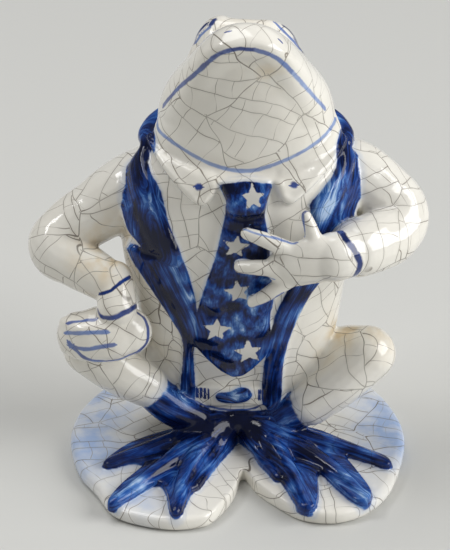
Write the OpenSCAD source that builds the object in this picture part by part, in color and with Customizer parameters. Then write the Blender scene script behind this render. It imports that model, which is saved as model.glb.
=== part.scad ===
// Frog figure sitting on a lily pad: separately formed clay pieces, millimetres.
// X to the viewer's right, Y to the back, Z up; the pad's underside is Z = 0.

/* [Preview] */
// Piece to draw

/* [Pad] */
// Thickness of the lily pad
pad_thick = 5; // [4:0.1:7]
// Diameter of the vent hole
vent_d = 9; // [6:0.1:12]

/* [Body] */
// Wall of the hollow castings
wall = 4; // [3:0.1:5.5]
// Radius of a bulging eye
eye_r = 6.4; // [5:0.1:8]

/* [Clothes] */
// Relief of the lapels
lapel_thick = 2.4; // [1.8:0.1:3.2]
// Relief of the shirt collar
collar_thick = 2.6; // [1.8:0.1:3.4]
// Relief of the tie blade
tie_thick = 2.8; // [2:0.1:3.6]
// Relief of the tie knot
knot_thick = 4.4; // [3.4:0.1:5.6]
// Relief of the waistband
band_thick = 1.6; // [1.2:0.1:2.2]
// Relief of the buckle over the waistband
buckle_thick = 1.2; // [0.8:0.1:2]
// Height of the band behind the neck
nape_high = 11; // [8:0.1:14]

/* [Limbs] */
// Radius of a finger at its base
finger_r = 2.5; // [2:0.1:3]
// Radius of a knee
knee_r = 9.4; // [7.8:0.1:11]
// Radius of a sock
sock_r = 6.4; // [5.2:0.1:7.6]
// Thickness of the web between the toes
web_thick = 2.8; // [2.2:0.1:3.6]
// Radius of a toe near its tip
toe_r = 2; // [1.6:0.1:2.6]

/* [Hidden] */
top = pad_thick;
white = "#f1efe6";
blue = "#1b2f7a";

// ---- curves and skins ----
function unit(v) = v / norm(v);
function xyz(p) = [p[0], p[1], p[2]];
function bend(a, b, c, d, t) = 0.5 * (2 * b + (c - a) * t + (2 * a - 5 * b + 4 * c - d) * t * t
  + (3 * b - a - 3 * c + d) * t * t * t);
function eased(P, k) = let(m = len(P) - 1) [for (i = [0:m - 1], j = [0:k - 1])
  bend(P[max(i - 1, 0)], P[i], P[i + 1], P[min(i + 2, m)], j / k), P[m]];
function closed(P, k) = let(m = len(P)) [for (i = [0:m - 1], j = [0:k - 1])
  bend(P[(i + m - 1) % m], P[i], P[(i + 1) % m], P[(i + 2) % m], j / k)];
function power(v, e) = sign(v) * pow(abs(v), 2 / e);

// one oval section: middle x y z, lean back, half width, front depth, back depth, squareness
function oval(s, g, n) = [for (i = [0:n - 1]) let(a = 360 * i / n, v = power(sin(a), s[7]),
  d = v * (v > 0 ? s[6] + g : s[5] + g))
  [s[0] + (s[4] + g) * power(cos(a), s[7]), s[1] + d * cos(s[3]), s[2] + d * sin(s[3])]];

module skin(rings, p0, p1) {
  n = len(rings[0]);
  m = len(rings);
  polyhedron(
    points = [p0, for (r = rings, p = r) p, p1],
    faces = [
      for (i = [0:n - 1]) [0, 1 + i, 1 + (i + 1) % n],
      for (j = [0:m - 2], i = [0:n - 1])
        let(a = 1 + j * n + i, b = 1 + j * n + (i + 1) % n, c = b + n, d = a + n)
        each [[a, d, c], [a, c, b]],
      for (i = [0:n - 1]) [1 + m * n, 1 + (m - 1) * n + (i + 1) % n, 1 + (m - 1) * n + i]]);
}

// tapering limb through points x y z, half width, half height; side is held across the bend
module limb(P, side, k = 4, n = 20, b0 = 0.9, b1 = 0.9) {
  Q = eased(P, k);
  m = len(Q) - 1;
  dirs = [for (i = [0:m]) unit(xyz(Q[min(i + 1, m)]) - xyz(Q[max(i - 1, 0)]))];
  function hoop(c, t, ra, rb) = let(v = unit(cross(t, side)), u = cross(v, t))
    [for (i = [0:n - 1]) c + ra * cos(360 * i / n) * u + rb * sin(360 * i / n) * v];
  r0 = min(Q[0][3], Q[0][4]) * b0;
  r1 = min(Q[m][3], Q[m][4]) * b1;
  skin(concat(
    [for (a = [30, 60]) hoop(xyz(Q[0]) - dirs[0] * r0 * cos(a), dirs[0],
      Q[0][3] * sin(a), Q[0][4] * sin(a))],
    [for (i = [0:m]) hoop(xyz(Q[i]), dirs[i], Q[i][3], Q[i][4])],
    [for (a = [60, 30]) hoop(xyz(Q[m]) + dirs[m] * r1 * cos(a), dirs[m],
      Q[m][3] * sin(a), Q[m][4] * sin(a))]),
    xyz(Q[0]) - dirs[0] * r0, xyz(Q[m]) + dirs[m] * r1);
}

module clay() resize([0, 0, 0]) children();
module over_pad() intersection() {
  children();
  translate([-100, -100, top]) cube([200, 200, 190]);
}
// outline drawn in X and Z, running from y0 to y1
module front_cut(P, y0, y1) rotate([90, 0, 0]) translate([0, 0, -y1])
  linear_extrude(y1 - y0) polygon(P);

// ---- solid shapes the pieces are cut from ----
body = [
  [0, 12, top, 0, 20, 15, 18, 2.2], [0, 11.5, 12, 0, 24, 16, 20, 2.2],
  [0, 11, 20, 0, 26.5, 15.5, 21, 2.2], [0.5, 10.5, 29, 0, 29, 17, 22, 2.2],
  [1.1, 9.8, 40, 0, 31.5, 20, 23, 2.2], [0.2, 9.6, 52, 0, 33.8, 22, 23.8, 2.2],
  [-0.6, 9.5, 64, 0, 36.2, 23, 24.3, 2.2], [-0.8, 9.5, 78, 0, 37.8, 23.5, 24.5, 2.25],
  [0.6, 10, 90, 0, 38, 24, 24.5, 2.3], [2, 11, 100, 0, 36.5, 24.5, 24, 2.3],
  [2.2, 12, 107, 0, 33, 22.5, 22, 2.2], [2.4, 13, 112, 0, 28.5, 19, 19, 2.1],
  [2.5, 13.5, 116, 0, 22, 14, 14, 2]];
module body_form(g = 0) skin([for (s = eased(body, 2)) oval(s, g, 36)],
  [0, 12, top], [2.5, 13.5, 116 + max(g, 0)]);

skull = [
  [2, 14, 103, 0, 22, 19, 18, 2], [2.2, 13.5, 111, 10, 27, 21, 20, 2],
  [2.5, 10.6, 117, 23, 28.6, 20.6, 21, 2.05], [2.5, 6, 123.5, 35, 27.2, 18.8, 20.5, 2.1],
  [2.5, 1.4, 130, 35, 24, 15.4, 18.5, 2.15], [2.5, -3.2, 136.6, 35, 20, 11.6, 15.8, 2.2],
  [2.4, -7.8, 143.1, 35, 17, 7.6, 13.4, 2.2], [2.2, -11.8, 148.9, 35, 13.4, 4.8, 11, 2.2],
  [2, -14.6, 152.9, 35, 9.6, 3, 8, 2.2], [2, -15.9, 154.8, 35, 6, 1.8, 5.6, 2.1]];
module skull_form(g = 0) skin([for (s = eased(skull, 2)) oval(s, g, 32)],
  [2, 14, 103], [2, -16.2 - 0.6 * g, 156.4 + 0.8 * g]);

// the throat ends on this line; below it the front is shirt
throat = eased([[-31, 124], [-28, 120.6], [-24.6, 116.8], [-19, 113.6], [-12, 111], [-5, 109.4], [2.5, 108.9],
  [9, 109.6], [16, 111.6], [24, 115], [29.6, 119], [34, 124]], 2);
module throat_form() intersection() {
  body_form();
  front_cut(concat(throat, [[34, 150], [-31, 150]]), -40, 8);
}
module chest_form() difference() {
  body_form();
  throat_form();
}

module inner_body() skin([for (s = body) oval(s, -wall, 24)],
  [0, 12, top], [2.5, 13.5, 116.5]);
// the head is hollow as far up as the wall leaves room
hollow = [for (s = skull) if (s[5] > wall + 1.2) s];
module inner_skull() skin([for (s = hollow) oval(s, -wall, 20)], [2, 14, 96],
  let(e = hollow[len(hollow) - 1]) [e[0], e[1] - 1.5, e[2] + 2.2]);

// ---- pad ----
rim = closed([
  [1.5, -20.6], [-1.4, -33], [-8.3, -45.4], [-14, -48.6], [-22, -49.4], [-32, -47], [-40.6, -42],
  [-46, -31.5], [-52, -21], [-55.3, -8], [-55.9, 4], [-53, 17], [-45, 31], [-33, 43],
  [-17, 51.5], [0, 54], [17, 52], [33, 44], [46.4, 30], [53, 16.5], [55.9, 3], [55, -10],
  [50, -29], [43, -39.8], [36, -44.6], [28.5, -46], [20, -43.8], [12.2, -36.6], [6, -29]], 3);
module pad_form() {
  lifts = [[0, 0.97], [0.8, 0.99], [2, 1], [top - 1.8, 1], [top - 0.6, 0.985], [top, 0.955]];
  n = len(rim);
  m = len(lifts);
  polyhedron(
    points = [for (l = lifts, p = rim) [1.5 + (p[0] - 1.5) * l[1], p[1] * l[1], l[0]]],
    faces = [[for (i = [n - 1:-1:0]) i],
      for (j = [0:m - 2], i = [0:n - 1])
        let(a = j * n + i, b = j * n + (i + 1) % n, c = b + n, d = a + n)
        each [[a, b, c], [a, c, d]],
      [for (i = [0:n - 1]) (m - 1) * n + i]]);
}
module lily_pad() color(white) difference() {
  pad_form();
  translate([0, 12, -1]) cylinder(h = top + 2, d = vent_d, $fn = 48);
}

// ---- castings ----
module torso() color(white) clay() difference() {
  chest_form();
  inner_body();
  inner_skull();
}
module head_form() difference() {
  union() {
    skull_form();
    throat_form();
    brow_form();
  }
  chest_form();
}
module head() color(white) clay() difference() {
  head_form();
  inner_body();
  inner_skull();
}
module brow_form() limb([[-5.5, 8, 146.4, 4.8, 4.8], [2, 7, 146, 5.2, 5.2], [9, 8, 145.8, 4.8, 4.8]],
  [0, 0, 1], 3, 16);
module eye_ball(at, lean) translate(at) rotate([-12, lean, 0]) scale([0.85, 1.08, 1.16])
  rotate([0, 90, 0]) sphere(eye_r, $fn = 24);
module eye(at, lean) clay() difference() {
  eye_ball(at, lean);
  skull_form();
  brow_form();
}
module eye_right() color(white) eye([-7.1, 8.4, 144.4], 34);
module eye_left() color(white) eye([11.7, 8.4, 142.8], -41);

// ---- collar, lapels, tie ----
module nape_form() limb([[-30.6, 9, 106.6, nape_high * 0.42, 2.6], [-29, 16, 108.6, nape_high / 2, 3],
  [-23.6, 24.4, 110.4, nape_high / 2, 3.2], [-12, 31.4, 111.4, nape_high / 2, 3.2],
  [2.5, 34, 111.8, nape_high / 2, 3.2], [17, 31.4, 111.4, nape_high / 2, 3.2],
  [28.6, 24.4, 110.4, nape_high / 2, 3.2], [34, 16, 108.6, nape_high / 2, 3],
  [35.6, 9, 106.6, nape_high * 0.42, 2.6]], [0.02, 0.05, 1], 3, 16);
module jacket_collar() color(blue) clay() difference() {
  nape_form();
  body_form();
  skull_form();
  collar_form();
  lapels_form();
}

lapel_r = [[-26, 112], [-28.5, 106], [-24.3, 100], [-21.9, 90.5], [-17.2, 78], [-13.6, 63.7],
  [-13.1, 48.8], [-14.6, 42], [-14.2, 22], [-19, 22], [-17.6, 44.8], [-20.4, 54],
  [-27.2, 65.5], [-35.5, 78], [-30.6, 80.6], [-34.8, 84.5], [-38, 94], [-39.5, 102],
  [-34, 110.8], [-28, 116]];
lapel_l = [[30.5, 112], [30.7, 106], [25.6, 101], [22.3, 97], [23.2, 90], [21, 80],
  [15.6, 67], [11.8, 58], [8.7, 40], [8.2, 22], [13.8, 22], [14.5, 37.5],
  [17.3, 52], [23.7, 66.3], [33, 78], [28, 82.5], [34.5, 86], [37.5, 92.5],
  [40, 96], [41.5, 103], [38.5, 109.5], [33, 116]];
module lapels_form() intersection() {
  body_form(lapel_thick);
  union() {
    front_cut(lapel_r, -30, 11);
    front_cut(lapel_l, -30, 11);
  }
}
module lapel(P) clay() difference() {
  intersection() {
    body_form(lapel_thick);
    front_cut(P, -30, 11);
  }
  body_form();
  skull_form();
  collar_form();
}
module lapel_right() color(blue) lapel(lapel_r);
module lapel_left() color(blue) lapel(lapel_l);

points = concat([for (p = throat) if (p[0] > -30.5 && p[0] < 33.5) p], [[33.6, 112], [29, 107.6],
  [24.4, 103], [20.4, 100], [15.6, 99.4], [12.4, 101.6], [9.8, 105], [2.5, 106.4], [-4.8, 105],
  [-7.6, 102], [-11, 98.6], [-15.2, 98.4], [-19.2, 101], [-23.6, 104.4], [-28, 109.4], [-30, 113]]);
module collar_form() intersection() {
  union() {
    body_form(collar_thick);
    skull_form(collar_thick);
  }
  front_cut(points, -30, 8);
}
module shirt_collar() color(white) clay() difference() {
  collar_form();
  body_form();
  skull_form();
}
module knot_form() intersection() {
  body_form(knot_thick);
  front_cut([[-5.6, 105.2], [9.8, 105.8], [8.6, 98.2], [6.4, 96.6], [-1.6, 96.4], [-3.9, 98]],
    -30, -2);
}
module tie_knot() color(blue) clay() difference() {
  knot_form();
  body_form();
  skull_form();
  collar_form();
}
module blade_form() intersection() {
  body_form(tie_thick);
  front_cut([[-4.6, 100], [-5.5, 85.5], [-9.3, 73], [-13.4, 59], [-14.8, 53], [-13.6, 46.2],
    [-1.6, 33.4], [7.6, 41.5], [10.4, 48.4], [9.9, 58.3], [11, 64.5], [9.5, 88], [9.3, 100]],
    -30, -2);
}
module tie_blade() color(blue) clay() difference() {
  blade_form();
  body_form();
  knot_form();
  lapels_form();
}

// ---- waist ----
module band_form() intersection() {
  body_form(band_thick);
  front_cut([[-17, 21], [-17, 28], [12, 28], [12, 21]], -30, 0);
}
module waistband() color(white) clay() difference() {
  band_form();
  body_form();
  lapels_form();
}
module belt_buckle() color(blue) clay() difference() {
  intersection() {
    body_form(band_thick + buckle_thick);
    front_cut(closed([[-7.2, 23.6], [-5.4, 21.8], [-1, 21.4], [2.6, 22.2], [4.6, 24.6], [3.4, 27.4],
      [0, 27.8], [-3, 26], [-6.2, 25.6]], 2), -30, -2);
  }
  band_form();
}

// ---- arms ----
module sleeve_right_form() limb([[-24, 13, 94, 13, 13], [-35, 12.5, 89.6, 12, 12.4],
  [-46, 10.5, 83.4, 10.2, 10.4], [-55.4, 8, 77.4, 9.4, 9.6], [-58.6, 4.6, 74, 9, 9.2],
  [-52, 0.6, 70.4, 8.2, 8.4], [-45, -3.6, 68, 7.4, 7.6], [-39.4, -7.4, 66, 6.8, 6.8]],
  [-0.24, -0.78, 0.58], 3, 20, 0.9, 0.12);
module sleeve_left_form() limb([[24, 14, 96, 13, 13], [36, 13, 95, 12.4, 12.4],
  [45, 10, 90.6, 11, 11], [51.2, 6, 85.8, 9.6, 9.8], [49, -0.6, 82.2, 9.6, 9.6],
  [42, -8, 82.2, 9.8, 9.6], [35.6, -13.6, 82.8, 9.4, 9.2]],
  [-0.37, 0.45, -0.83], 3, 20, 0.9, 0.12);
module cuff_right_form() limb([[-39.4, -6, 67.4, 5.8, 5.8], [-38.9, -9.5, 64.2, 6, 6.2],
  [-38.6, -12.4, 60.6, 6.4, 6.6]], [1, 0, 0.1], 3, 18, 0.6, 0.25);
module cuff_left_form() limb([[37.4, -12.4, 82.8, 7.4, 6.6], [32.6, -17.4, 83.2, 8, 6],
  [28.8, -19.8, 83.4, 8.2, 5.4]], [0, 0, 1], 3, 18, 0.3, 0.25);

module sleeve_right() color(white) clay() difference() {
  sleeve_right_form();
  body_form();
  lapels_form();
  nape_form();
}
module sleeve_left() color(white) clay() difference() {
  sleeve_left_form();
  body_form();
  lapels_form();
  nape_form();
}
module cuff_right() color(white) clay() difference() {
  cuff_right_form();
  sleeve_right_form();
  leg_form(-1);
}
module cuff_left() color(white) clay() difference() {
  cuff_left_form();
  sleeve_left_form();
  body_form();
  lapels_form();
}

module hand_right() color(white) clay() difference() {
  union() {
    limb([[-32, -11, 51.4, 7.6, 8], [-38.5, -11.4, 51, 9, 9.2], [-46, -11, 50, 9, 9.2],
      [-52.6, -10, 49.6, 6.6, 7]], [0, 0, 1], 4, 20);
    for (z = [54.6, 50.4, 46.2]) limb([[-42, -16, z + 0.6, finger_r, finger_r],
      [-50, -15, z, finger_r, finger_r], [-55.2, -10.6, z - 0.4, finger_r * 0.8, finger_r * 0.8]],
      [0, 0, 1], 3, 12);
  }
  cuff_right_form();
  sleeve_right_form();
  leg_form(-1);
  body_form();
}
module hand_left() color(white) clay() difference() {
  union() {
    limb([[30, -18.4, 83.4, 7.4, 5.2], [24, -20.6, 83.2, 8.2, 4.4], [17, -20.8, 81.4, 8, 3.8],
      [13.6, -20.4, 80.6, 6.8, 3]], [0, 0, 1], 4, 20);
    limb([[16, -20.6, 86.6, finger_r, finger_r], [8, -20.4, 90.4, finger_r, finger_r * 0.9],
      [2.6, -18.8, 91.6, finger_r * 0.84, finger_r * 0.8]], [0, 0, 1], 3, 12);
    limb([[16, -20.8, 80, finger_r, finger_r], [7, -20.6, 80.4, finger_r, finger_r * 0.9],
      [0.6, -18.8, 79.8, finger_r * 0.84, finger_r * 0.8]], [0, 0, 1], 3, 12);
    limb([[16, -20.6, 76, finger_r, finger_r], [9.4, -20.2, 71, finger_r, finger_r * 0.9],
      [4.8, -18.2, 66.8, finger_r * 0.84, finger_r * 0.8]], [0, 0, 1], 3, 12);
    limb([[24, -20, 86, 3.4, 3.4], [22.6, -19, 92, 2.5, 2.5], [20.8, -17.2, 96.6, 2, 2]],
      [0, 1, 0], 3, 12);
  }
  cuff_left_form();
  sleeve_left_form();
  body_form();
  lapels_form();
  blade_form();
  knot_form();
}

// ---- legs and feet: side 1 is the frog's left ----
function leg_knee(s) = s > 0 ? [42.6, 0, 36.4] : [-48, -3, 40.6];
function ankle(s) = s > 0 ? [24, -5.4, 20.2] : [-30.5, -5, 27.4];
module leg_form(s) over_pad() union() {
  k = leg_knee(s);
  a = ankle(s);
  limb([[s * 14, 14, 20, 13, 13], [s * 24, 9, 25, 12.4, 12.4],
    [0.55 * k[0] + s * 14, 4.4, 0.5 * k[2] + 14, 10.6, 10.6],
    [k[0], k[1], k[2], knee_r, knee_r]], [0, 1, 0.3], 4, 20);
  limb([[k[0], k[1], k[2], knee_r, knee_r * 0.98],
    [0.5 * (k[0] + a[0]), 0.5 * (k[1] + a[1]) - 1, 0.5 * (k[2] + a[2]) - 0.6, knee_r * 0.9, knee_r * 0.84],
    [a[0], a[1], a[2], knee_r * 0.78, knee_r * 0.76]], [0, 1, 0], 4, 20, 0.9, 0.25);
}
module leg(s) color(white) clay() difference() {
  leg_form(s);
  body_form();
  lapels_form();
  band_form();
}
module leg_right() leg(-1);
module leg_left() leg(1);

module sock_form(s) over_pad() {
  a = ankle(s);
  limb([[a[0] + s * 1, a[1] + 0.4, a[2] + 0.6, sock_r * 0.9, sock_r * 0.9],
    [s > 0 ? 19 : -22, -5, s > 0 ? 17 : 19, sock_r, sock_r],
    [s * 14, -5, 14, sock_r * 0.9, sock_r * 0.86]], [0, 1, 0], 3, 18, 0.5, 0.5);
}
module sock(s) color(blue) clay() difference() {
  sock_form(s);
  leg_form(s);
  body_form();
  lapels_form();
  band_form();
}
module sock_right() sock(-1);
module sock_left() sock(1);

foot_r = [[-0.4, -3], [-0.6, -8], [-4.4, -15.4], [-9.1, -24], [-12.6, -32], [-15.4, -37], [-17.2, -43.4],
  [-18, -47.4], [-20, -49], [-21.6, -46.6], [-22.4, -39.6], [-23.8, -33.8], [-26, -31.6],
  [-28.8, -33.2], [-33.4, -38.2], [-38.6, -43.2], [-41.4, -43.4], [-41.6, -40.4], [-38, -32.6],
  [-33.4, -25.6], [-31, -21.4], [-32.2, -19.4], [-35.6, -19.2], [-41.4, -21.8], [-44.2, -20.8],
  [-42.8, -17], [-36, -8.6], [-26, -2], [-19.4, 0.6], [-10, 2]];
foot_l = [[0.4, -3], [0.8, -7], [8.9, -18.2], [15, -32], [18.4, -42.4], [20.2, -45.4], [22.8, -45.8],
  [24.8, -43.2], [25.6, -35.2], [25.6, -27.6], [26.8, -25], [28.4, -27], [32.8, -35],
  [36.8, -41], [39.2, -42.4], [41.6, -41.4], [42.8, -38], [42.4, -34], [38, -22.8], [35.6, -16.8],
  [37.2, -14.4], [43.3, -18.6], [47.8, -22], [50.4, -20.8], [49.2, -16.8], [43.6, -12.6],
  [34, -5.8], [24.3, 0.6], [10, 2]];
module toe(s, mid, tip) limb([[s * 9, -7, top + 4.4, toe_r * 2.6, toe_r * 2.7],
  [mid[0], mid[1], top + 1.7, toe_r * 1.5, toe_r * 1.5], [tip[0], tip[1], top + 1.1, toe_r, toe_r]],
  [0, 0, 1], 4, 14);
module foot_form(s) intersection() {
  over_pad() union() {
    translate([0, 0, top]) linear_extrude(web_thick) polygon(closed(s > 0 ? foot_l : foot_r, 2));
    limb([[s * 6, -5, top + 5.4, 6.4, 7.4], [s * 10, -6.8, top + 4.6, 7.2, 7.6],
      [s * 18, -11, top + 1.6, 5.2, 5.8]], [0, 0, 1], 3, 18, 0.5, 0.9);
    if (s > 0) {
      toe(1, [35.6, -13.4], [47.6, -19.8]);
      toe(1, [29.9, -23], [39.8, -39.6]);
      toe(1, [16.4, -25.4], [21.8, -42.6]);
    } else {
      toe(-1, [-27.4, -11.6], [-41, -19]);
      toe(-1, [-26, -25.2], [-39, -40.8]);
      toe(-1, [-16.6, -29.4], [-19.6, -45.6]);
    }
  }
  translate([s > 0 ? 0 : -100, -100, 0]) cube([100, 200, 100]);
}
module foot(s) color(blue) clay() difference() {
  foot_form(s);
  sock_form(s);
  leg_form(s);
  body_form(band_thick);
}
module foot_right() foot(-1);
module foot_left() foot(1);

lily_pad();
torso();
head();
eye_right();
eye_left();
jacket_collar();
lapel_right();
lapel_left();
shirt_collar();
tie_knot();
tie_blade();
waistband();
belt_buckle();
sleeve_right();
sleeve_left();
cuff_right();
cuff_left();
hand_right();
hand_left();
leg_right();
leg_left();
sock_right();
sock_left();
foot_right();
foot_left();
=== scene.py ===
import math, time
import bpy, bmesh
import numpy as np
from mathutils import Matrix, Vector
from mathutils.bvhtree import BVHTree
from mathutils.kdtree import KDTree


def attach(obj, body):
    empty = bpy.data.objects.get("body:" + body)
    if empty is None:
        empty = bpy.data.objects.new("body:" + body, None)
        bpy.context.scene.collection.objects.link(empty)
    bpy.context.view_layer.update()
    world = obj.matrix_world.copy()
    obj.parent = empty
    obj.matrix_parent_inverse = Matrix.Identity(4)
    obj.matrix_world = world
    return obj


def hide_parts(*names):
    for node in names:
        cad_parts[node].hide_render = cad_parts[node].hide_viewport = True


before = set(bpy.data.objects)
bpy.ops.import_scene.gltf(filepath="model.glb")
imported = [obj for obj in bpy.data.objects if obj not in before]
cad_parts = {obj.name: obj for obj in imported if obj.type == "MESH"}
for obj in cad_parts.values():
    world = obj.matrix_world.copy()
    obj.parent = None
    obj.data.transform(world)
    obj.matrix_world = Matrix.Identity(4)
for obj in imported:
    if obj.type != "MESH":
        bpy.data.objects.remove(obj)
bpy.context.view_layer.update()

mm = 0.001  # the tables below are in millimetres
started = time.time()


def report(words):
    print("%5.1f s  %s" % (time.time() - started, words))


def place(point):
    return Vector(point[:3]) * mm


def clearSelection():
    for thing in list(bpy.context.selected_objects):
        thing.select_set(False)


def selectOnly(thing):
    clearSelection()
    thing.select_set(True)
    bpy.context.view_layer.objects.active = thing


def applyModifier(thing, kind, **settings):
    selectOnly(thing)
    modifier = thing.modifiers.new(kind.lower(), kind)
    for name, value in settings.items():
        setattr(modifier, name, value)
    bpy.ops.object.modifier_apply(modifier=modifier.name)


# camera
cameraSetup = {"stands": (-4.25, -650, 440), "looksAt": (-4.25, 0, 66), "lens": 152.5}
bpy.ops.object.camera_add(location=place(cameraSetup["stands"]))
camera = bpy.context.active_object
camera.name = "portraitCamera"
camera.data.lens = cameraSetup["lens"]
camera.data.clip_start, camera.data.clip_end = 0.05, 20
camera.rotation_euler = (place(cameraSetup["looksAt"]) - camera.location).to_track_quat("-Z", "Y").to_euler()
bpy.context.scene.camera = camera


# forming the clay
def inEditMode(thing, operator, **settings):
    selectOnly(thing)
    bpy.ops.object.mode_set(mode="EDIT")
    bpy.ops.mesh.select_all(action="SELECT")
    operator(**settings)
    bpy.ops.object.mode_set(mode="OBJECT")


def stackSections(name, sections):  # a circle shaped to the first section, then extruded to each next one
    bpy.ops.mesh.primitive_circle_add(vertices=len(sections[0]), radius=0.02, fill_type="NGON")
    form = bpy.context.active_object
    form.name = name
    bpy.ops.object.mode_set(mode="EDIT")
    for number, section in enumerate(sections):
        if number:
            bpy.ops.mesh.extrude_region_move()
        mesh = bmesh.from_edit_mesh(form.data)
        top = next(face for face in mesh.faces if face.select)
        for corner, point in zip(top.verts, section):
            corner.co = place(point)
        bmesh.update_edit_mesh(form.data)
    bpy.ops.object.mode_set(mode="OBJECT")
    inEditMode(form, bpy.ops.mesh.normals_make_consistent, inside=False)
    return form


def stackForm(name, rings, squareness=2.2, sides=32):  # lays one oval section on another
    sections = []
    for x, y, z, lean, half, front, back in rings:
        section, tilt = [], math.radians(lean)
        for i in range(sides):
            c, s = math.cos(2 * math.pi * i / sides), math.sin(2 * math.pi * i / sides)
            across = half * math.copysign(abs(c) ** (2 / squareness), c)
            deep = (back if s > 0 else front) * math.copysign(abs(s) ** (2 / squareness), s)
            section.append((x + across, y + deep * math.cos(tilt), z + deep * math.sin(tilt)))
        sections.append(section)
    form = stackSections(name, sections)
    applyModifier(form, "SUBSURF", levels=2, render_levels=2)
    return form


def ball(middle, size, turn=(0, 0, 0)):  # a pinch of clay, half sizes across x, y, z
    bpy.ops.mesh.primitive_uv_sphere_add(segments=32, ring_count=18, radius=mm, location=place(middle),
                                         rotation=[math.radians(a) for a in turn], scale=size)
    bpy.ops.object.transform_apply(location=True, rotation=True, scale=True)
    return bpy.context.active_object


def roll(points, flat=(1, 1, 1)):  # a rolled sausage of clay with round ends, points x y z radius
    clearSelection()
    bpy.ops.curve.primitive_bezier_curve_add()
    form = bpy.context.active_object
    spline = form.data.splines[0]
    spline.bezier_points.add(len(points) - 2)
    for knot, point in zip(spline.bezier_points, points):
        knot.handle_left_type = knot.handle_right_type = "AUTO"
        knot.co, knot.radius = place(point), point[3]
    form.data.bevel_depth, form.data.bevel_resolution, form.data.resolution_u = mm, 7, 10
    form.data.use_fill_caps = True
    bpy.ops.object.convert(target="MESH")
    form = bpy.context.active_object
    form = join([form] + [ball(p, (p[3] * 0.985,) * 3) for p in (points[0], points[-1])])
    if flat != (1, 1, 1):
        middle = place(points[len(points) // 2])
        inEditMode(form, bpy.ops.transform.resize, value=flat, center_override=middle)
    return form


def join(parts):
    clearSelection()
    for part in parts:
        part.select_set(True)
    bpy.context.view_layer.objects.active = parts[0]
    if len(parts) > 1:
        bpy.ops.object.join()
    return bpy.context.active_object


def rounded(outline, steps=4, loop=True):  # the outline with its corners eased
    points, count = [Vector(p) for p in outline], len(outline)
    eased = []
    for i in range(count if loop else count - 1):
        near = [(i + k) % count if loop else min(max(i + k, 0), count - 1) for k in (-1, 0, 1, 2)]
        a, b, c, d = [points[k] for k in near]
        for j in range(steps):
            t = j / steps
            bend = 2 * b + (c - a) * t + (2 * a - 5 * b + 4 * c - d) * t * t
            eased.append(0.5 * (bend + (3 * b - a - 3 * c + d) * t ** 3))
    return eased if loop else eased + [points[-1]]


def curved(outline, steps=3, loop=True):
    return [tuple(point) for point in rounded(outline, steps, loop)]


def slab(name, outline, levels):  # a rolled sheet cut to an outline, levels are (height, scale)
    middle = sum(outline, Vector((0, 0))) / len(outline)
    return stackSections(name, [[(*(middle + (point - middle) * spread), height) for point in outline]
                                for height, spread in levels])


casting = {  # the slip-cast body and head: x, y, z, lean, half width, front, back
    "body": [(0, 12, 3, 0, 20, 15, 18), (0, 11.5, 12, 0, 24, 16, 20), (0, 11, 20, 0, 26.5, 15.5, 21),
             (0.5, 10.5, 29, 0, 29, 17, 22), (1.1, 9.8, 40, 0, 31.5, 20, 23),
             (0.2, 9.6, 52, 0, 33.8, 22, 23.8), (-0.6, 9.5, 64, 0, 36.2, 23, 24.3),
             (-0.8, 9.5, 78, 0, 37.8, 23.5, 24.5), (0.6, 10, 90, 0, 38, 24, 24.5),
             (2, 11, 100, 0, 36.5, 24.5, 24), (2.2, 12, 107, 0, 33, 22.5, 22),
             (2.4, 13, 112, 0, 28.5, 19, 19), (2.5, 13.5, 116, 0, 22, 14, 14)],
    "head": [(2, 14, 103, 0, 22, 21, 18), (2.2, 13.5, 111, 10, 27, 22.6, 20),
             (2.5, 10.6, 117, 23, 28.6, 22, 21), (2.5, 6, 123.5, 35, 27.4, 20.2, 20.5),
             (2.5, 1.4, 130, 35, 24.2, 16.4, 18.5), (2.5, -3.2, 136.6, 35, 20.2, 12.2, 16),
             (2.4, -7.8, 143.1, 35, 17.2, 8, 13.8), (2.2, -11.8, 148.9, 35, 13.8, 5, 11.4),
             (2, -14.6, 152.9, 35, 10.4, 3.4, 8.6), (2, -16.1, 155.2, 35, 6.8, 2.2, 5.8)],
    "voxel": 0.7, "soften": 14, "softenClothes": 2,
}
torsoForm = stackForm("bodyForm", casting["body"])
headForm = stackForm("headForm", casting["head"])
figure = join([torsoForm, headForm])
applyModifier(figure, "REMESH", mode="VOXEL", voxel_size=casting["voxel"] * mm)
applyModifier(figure, "SMOOTH", factor=0.5, iterations=casting["soften"])
report("body and head cast")


# clothes and face laid on in relief
def readMesh(thing):
    count = len(thing.data.vertices)
    spots, normals = np.empty(count * 3, np.float32), np.empty(count * 3, np.float32)
    thing.data.vertices.foreach_get("co", spots)
    thing.data.vertices.foreach_get("normal", normals)
    return spots.reshape(-1, 3).astype(float) / mm, normals.reshape(-1, 3).astype(float)


def writeMesh(thing, spots):
    thing.data.vertices.foreach_set("co", (spots * mm).astype(np.float32).ravel())
    thing.data.update()


def insideOf(outline, x, z):  # how far inside a closed outline each place lies, less than 0 outside
    near, within = np.full(len(x), 1e9), np.zeros(len(x), bool)
    for (ax, az), (bx, bz) in zip(outline, outline[1:] + outline[:1]):
        ex, ez = bx - ax, bz - az
        t = np.clip(((x - ax) * ex + (z - az) * ez) / (ex * ex + ez * ez + 1e-9), 0, 1)
        near = np.minimum(near, np.hypot(x - ax - t * ex, z - az - t * ez))
        if abs(ez) > 1e-9:
            crossing = ((az > z) != (bz > z)) & (x < ex * (z - az) / ez + ax)
            within ^= crossing
    return np.where(within, near, -near)


def ease(value, low, high):
    t = np.clip((value - low) / (high - low), 0, 1)
    return t * t * (3 - 2 * t)


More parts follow.
